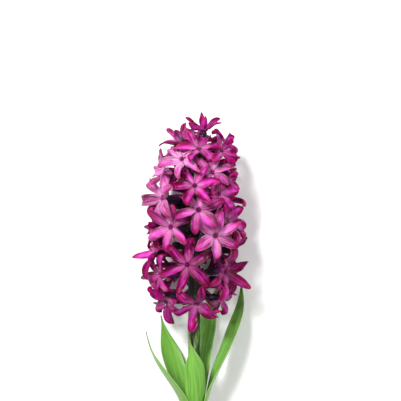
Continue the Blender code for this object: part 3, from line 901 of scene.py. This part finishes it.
def add_rod(shape):
    """The scape itself, tapering through the raceme to a blunt end."""
    path, radii = [], []
    for i in range(SCAPE_STEPS + 1):
        station = NECK_FLOOR + (SCAPE_TOP - NECK_FLOOR) * i / SCAPE_STEPS
        path.append(axis_point(station))
        taper = smooth((station - 40.0) / (SCAPE_TOP - 40.0))
        swell = 1.0 + 0.03 * noise.noise(Vector((0.0, station * 0.06, 3.0)))
        end = math.sqrt(max(0.0, 1.0 - (i / SCAPE_STEPS) ** 40))
        radii.append((SCAPE_R + (SCAPE_TIP_R - SCAPE_R) * taper) * swell * max(end, 0.2))
    shape.tube(path, radii, 28)


def add_pedicel(shape, floret):
    """A floret's stalk, flared where it leaves the scape, and the bract under it."""
    path, radii = [], []
    for i in range(9):
        t = i / 8
        path.append(floret.foot + floret.heading * (PEDICEL_ROOT + (PEDICEL_END - PEDICEL_ROOT) * t))
        radii.append(PEDICEL_R * (0.88 + 0.30 * t) + 0.9 * (1.0 - smooth(t / 0.55)))
    shape.tube(path, radii, 12)
    under = (floret.heading - UP).normalized()
    side = under.cross(floret.heading).normalized()
    start = floret.foot + floret.heading * 4.0 + under * 1.0
    bract = [start + floret.heading * 3.6 * t + under * 1.1 * t for t in (0, 0.5, 1)]
    bract = [spot + side * 0.3 * k for k, spot in enumerate(bract)]
    shape.tube(bract, (1.1, 0.8, 0.25), 8)


def make_scape(florets, material):
    """The scape, its pedicels and bracts, grown into one skin."""
    shape = Shape()
    add_rod(shape)
    for floret in florets:
        add_pedicel(shape, floret)
    piece = add_piece("scape_skin", shape.mesh("scape_skin"), [material], "stem", "scape")
    remesh = piece.modifiers.new("grow_together", "REMESH")
    remesh.mode = "VOXEL"
    remesh.voxel_size = SCAPE_VOXEL * MM
    remesh.use_smooth_shade = True
    soften = piece.modifiers.new("soften", "SMOOTH")
    soften.iterations = 4


# ---------------- leaves


def leaf_width(t, width):
    """A leaf's width along its length: narrow in the neck, and tapered to its tip."""
    wide = LEAF_BASE + (width - LEAF_BASE) * smooth((t - 0.09) / 0.4)
    if t > 0.55:
        wide *= 1.0 - smooth((t - 0.55) / 0.47) ** 2.2
    return max(wide, 0.9)


def make_leaf(number, form, material):
    """A channelled strap with parallel veins, thick along its middle, and a hooded tip."""
    azimuth, radius, towards, tip, width = form
    chance = random.Random(100 + number)
    tone = chance.random()
    phase = chance.uniform(0, math.tau)
    start = axis_point(NECK_FLOOR + 0.4) + radial(azimuth) * radius
    end = SHIFT + Vector(tip)
    reach = Vector((0, 0.36 * (end - start).length, 0))
    path = (start, start + reach, SHIFT + Vector(towards), end)
    shape, rings = Shape(), []
    for i in range(LEAF_ROWS + 1):
        t = i / LEAF_ROWS
        centre, along = bezier(path, t), bezier_slope(path, t)
        inward = axis_point(centre.y - SHIFT.y) + Vector((0, 0, 10.0 * smooth(t))) - centre
        inward = (inward - along * inward.dot(along)).normalized()
        across = along.cross(inward)
        wide = leaf_width(t, width)
        bend = radius + (17.0 - radius) * smooth((t - 0.09) / 0.35)
        hood = 0.35 * smooth((t - 0.86) / 0.14)
        front, back, marks = [], [], []
        for column in range(LEAF_COLUMNS + 1):
            u = -1.0 + 2.0 * column / LEAF_COLUMNS
            angle = u * 0.5 * wide / bend
            spot = centre + across * (bend * math.sin(angle)) + inward * bend * (1 - math.cos(angle))
            spot += inward * wide * hood * u * u * 0.5
            spot += inward * (0.22 * math.sin(9.0 * t + phase + u) * u * u * smooth((t - 0.2) / 0.3))
            ribbed = 0.07 * math.cos(26.0 * u) * smooth((t - 0.05) / 0.2)
            keel = 0.35 * math.exp(-((u / 0.12) ** 2)) * (1.0 - t)
            thick = LEAF_THICK * (1.0 - 0.62 * u * u) * (1.0 - 0.45 * t)
            front.append(spot + inward * (thick / 2 + ribbed - keel * 0.6))
            back.append(spot - inward * (thick / 2 + ribbed * 0.6 + keel * 0.5))
            marks.append(u)
        lowest = min(p.z for p in back + front)
        lift = Vector((0.0, 0.0, max(0.0, LEAF_GAP - lowest)))
        ring = [p + lift for p in front + back[::-1]]
        values = [(t, u, 1.0, tone) for u in marks] + [(t, u, 0.0, tone) for u in reversed(marks)]
        rings.append(shape.ring(ring, values))
    shape.skin(rings)
    name = f"leaf_{number}"
    add_piece(f"leaf_blade_{number}", shape.mesh(name + "_blade"), [material], "leaf", name)


# ---------------- bulb


def bulb_radius(height):
    """The bulb's radius at a height, on a smooth line that never overshoots its outline."""
    rises = [(b[0] - a[0]) / (b[1] - a[1]) for a, b in zip(BULB_OUTLINE, BULB_OUTLINE[1:])]
    slopes = [rises[0]]
    for before, after in zip(rises, rises[1:]):
        slopes.append(2.0 * before * after / (before + after) if before * after > 0.0 else 0.0)
    slopes.append(rises[-1])
    for i, ((low, start), (high, end)) in enumerate(zip(BULB_OUTLINE, BULB_OUTLINE[1:])):
        if height <= end:
            span = end - start
            t = (height - start) / span
            swing = t * (1.0 - t) * span * (slopes[i] * (1.0 - t) - slopes[i + 1] * t)
            return low + (high - low) * smooth(t) + swing
    return BULB_OUTLINE[-1][0]


def bulb_place(azimuth, radius, height):
    """A place this far from the bulb's axis; the azimuth is measured from straight up."""
    angle = math.radians(azimuth)
    spot = Vector((math.sin(angle) * radius, -math.cos(angle) * radius, height))
    return plant_frame(BULB_BASE) @ spot


def bulb_point(azimuth, height, stand):
    """A point on the bulb, this far off its skin."""
    angle = math.radians(azimuth)
    folds = noise.noise(Vector((math.cos(angle) * 5.0, math.sin(angle) * 5.0, height * 0.03)))
    crease = noise.noise(Vector((math.cos(angle) * 19.0, math.sin(angle) * 19.0, height * 0.06)))
    radius = max(0.0, bulb_radius(height) - 0.35 + 0.3 * folds + 0.16 * crease + stand)
    return bulb_place(azimuth, radius, height)


def make_bulb(material):
    """The bulb's outer scale, folded and creased, open at its neck."""
    shape, rings = Shape(), []
    top = BULB_OUTLINE[-1][1]
    azimuths = [360.0 * k / BULB_SIDES for k in range(BULB_SIDES)]
    for i in range(BULB_ROWS + 1):
        height = top * i / BULB_ROWS
        ring = [bulb_point(a, max(height, 0.05), 0.0) for a in azimuths]
        rings.append(shape.ring(ring, [(height / top, a / 180.0 - 1.0, 0.0, 0.3) for a in azimuths]))
    neck = ((NECK_INNER + 0.6, top - 0.4), (NECK_INNER, top - 2.0), (NECK_INNER, NECK_DEPTH + 1.0))
    for radius, height in neck:
        ring = [bulb_place(a, radius, height) for a in azimuths]
        rings.append(shape.ring(ring, [(0.9, a / 180.0 - 1.0, 1.0, 0.8) for a in azimuths]))
    shape.skin(rings)
    add_piece("bulb_scales", shape.mesh("bulb_scales"), [material], "tunic", "bulb")


def make_tunic_layer(number, material):
    """A dry papery layer lying on the bulb, with torn edges."""
    chance = random.Random(300 + number)
    middle = chance.uniform(-85, 85)
    spread = chance.uniform(34, 62)
    low, high = chance.uniform(2.0, 24.0), chance.uniform(36.0, 54.6)
    stand = 0.18 + 0.07 * number
    shape, rings = Shape(), []
    for i in range(LAYER_ROWS + 1):
        v = i / LAYER_ROWS
        front, back, marks = [], [], []
        for column in range(LAYER_COLUMNS + 1):
            u = -1.0 + 2.0 * column / LAYER_COLUMNS
            torn = 5.0 * noise.noise(Vector((u * 3.1, number * 7.0, 0.5)))
            torn += 1.4 * noise.noise(Vector((u * 14, number, 2)))
            side = 6.0 * noise.noise(Vector((v * 4.0, number * 5.0, 1.5 if u > 0 else 4.5))) * abs(u)
            height = low + (high - low) * v + torn * (2 * v - 1) * abs(2 * v - 1)
            height = min(max(height, 0.6), 54.8)
            azimuth = middle + (spread + side) * u
            edge = max(abs(u), abs(2 * v - 1)) ** 8
            curl = stand + 0.9 * edge * max(0.0, noise.noise(Vector((u * 2, v * 2, number * 3.0))))
            front.append(bulb_point(azimuth, height, curl + 0.14))
            back.append(bulb_point(azimuth, height, curl))
            marks.append(azimuth / 180.0)
        values = [(0.2 + 0.8 * v, m, 0.0, chance.random() * 0.1 + 0.1 * number) for m in marks]
        rings.append(shape.ring(front + back[::-1], values + values[::-1]))
    shape.skin(rings)
    name = f"tunic_layer_{number}"
    add_piece(name, shape.mesh(name), [material], "tunic")


# ---------------- roots


def add_plate(shape):
    """The rough basal plate that the roots grow from."""
    plate = plant_frame(BULB_BASE - GAP - PLATE_THICK)
    rings = []
    for height, radius in PLATE_OUTLINE:
        ring = []
        for k in range(PLATE_SIDES):
            angle = math.tau * k / PLATE_SIDES
            rough = 0.5 * noise.noise(Vector((math.cos(angle) * 6, math.sin(angle) * 6, height)))
            out = radius + rough
            ring.append(plate @ Vector((math.cos(angle) * out, math.sin(angle) * out, height)))
        rings.append(shape.ring(ring, [(0.0, 0.0, 0.0, 0.5)] * PLATE_SIDES))
    shape.skin(rings)


def add_root(shape, number, chance):
    """One wandering root: the first ones fleshy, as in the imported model, and the rest thin."""
    inner = number % 3 == 0
    azimuth = GOLDEN_ANGLE * number
    length = ROOT_LENGTH * (1.0 + 0.16 * math.sin(2.4 * number))
    if number < ROOTS:
        spread = 0.0 if number == 0 else 3.4 if inner else 7.4
        splay, thick, sway = 0.18 if inner else 0.42, ROOT_R, 0.5
    else:
        spread = chance.uniform(1.0, 8.2)
        length *= chance.uniform(0.4, 0.98)
        splay = chance.uniform(0.1, 0.5)
        thick, sway = ROOT_R * chance.uniform(0.38, 0.62), 0.9
    base = axis_point(BULB_BASE - GAP - 1.0) + radial(azimuth) * spread
    drift = radial(azimuth) * splay
    path, radii = [], []
    for k in range(ROOT_STEPS + 1):
        t = k / ROOT_STEPS
        centre = base + Vector((0, -length * t, 0)) + drift * length * t * (0.4 + 0.6 * t)
        centre += radial(azimuth + 90) * 1.6 * math.sin(3.0 * t + number) * t
        centre += radial(azimuth + 40) * sway * math.sin(8.0 * t + 2.0 * number) * t
        size = thick * (1.0 - 0.45 * t) * (1.0 + 0.08 * math.sin(21.0 * t + number))
        size *= math.sqrt(max(0.05, 1.0 - t**14))
        centre.z = max(centre.z - 5.0 * t * t, size + GAP)
        path.append(centre)
        radii.append(size)
    shape.tube(path, radii, 10, 0, chance.random())


def make_roots(material):
    """The basal plate and its tuft: fleshy roots, with rootlets between them."""
    shape = Shape()
    add_plate(shape)
    chance = random.Random(7)
    for number in range(ROOTS + ROOTLETS):
        add_root(shape, number, chance)
    add_piece("root_tuft", shape.mesh("root_tuft"), [material], "root", "roots")


# ---------------- stage, light, camera


def make_floor(material):
    """The pale surface that the plant lies on."""
    bm = bmesh.new()
    bmesh.ops.create_grid(bm, x_segments=8, y_segments=8, size=FLOOR_HALF)
    mesh = bpy.data.meshes.new("floor")
    bm.to_mesh(mesh)
    bm.free()
    mesh.materials.append(material)
    floor = bpy.data.objects.new("floor", mesh)
    bpy.context.scene.collection.objects.link(floor)


def add_light(name, place, target, size, power):
    """A soft square light at a place in metres, facing a target."""
    light = bpy.data.lights.new(name, "AREA")
    light.size = size
    light.energy = power
    lamp = bpy.data.objects.new(name, light)
    lamp.location = place
    lamp.rotation_euler = (Vector(target) - Vector(place)).to_track_quat("-Z", "Y").to_euler()
    bpy.context.scene.collection.objects.link(lamp)


def make_world():
    """Even studio light, in front of a white backdrop."""
    world = bpy.data.worlds.new("studio")
    world.use_nodes = True
    nodes, links = world.node_tree.nodes, world.node_tree.links
    light = nodes["Background"]
    light.inputs["Color"].default_value = (1.0, 1.0, 1.0, 1.0)
    light.inputs["Strength"].default_value = STUDIO_LIGHT
    backdrop = nodes.new("ShaderNodeBackground")
    backdrop.inputs["Color"].default_value = (1.0, 1.0, 1.0, 1.0)
    backdrop.inputs["Strength"].default_value = STUDIO_BACKDROP
    either = nodes.new("ShaderNodeMixShader")
    links.new(nodes.new("ShaderNodeLightPath").outputs["Is Camera Ray"], either.inputs[0])
    links.new(light.outputs[0], either.inputs[1])
    links.new(backdrop.outputs[0], either.inputs[2])
    links.new(either.outputs[0], nodes["World Output"].inputs["Surface"])
    return world


def light_and_camera():
    """Two soft lights, and a camera that looks straight down on the raceme."""
    scene = bpy.context.scene
    scene.view_settings.view_transform = "Standard"
    scene.world = make_world()
    target = (SHIFT + Vector((LOOK_ACROSS, LOOK_STATION, LOOK_HEIGHT))) * MM
    add_light("key", KEY_PLACE, target, KEY_SIZE, KEY_POWER)
    add_light("fill", FILL_PLACE, target, FILL_SIZE, FILL_POWER)

    camera = bpy.data.cameras.new("camera")
    camera.lens, camera.sensor_width = LENS, SENSOR
    seen = bpy.data.objects.new("camera", camera)
    seen.location = target + Vector((0.0, 0.0, FRAME_WIDTH * LENS / SENSOR * MM))
    scene.collection.objects.link(seen)
    scene.camera = seen


# ---------------- build

florets = all_florets()
make_florets(florets, [petal_material(), tube_material(), heart_material()])
make_scape(florets, stem_material())
leaf = leaf_material()
for number, form in enumerate(LEAVES, 1):
    make_leaf(number, form, leaf)
tunic = tunic_material()
make_bulb(tunic)
for number in range(1, RAGGED_LAYERS + 1):
    make_tunic_layer(number, tunic)
make_roots(root_material())
make_floor(floor_material())
light_and_camera()
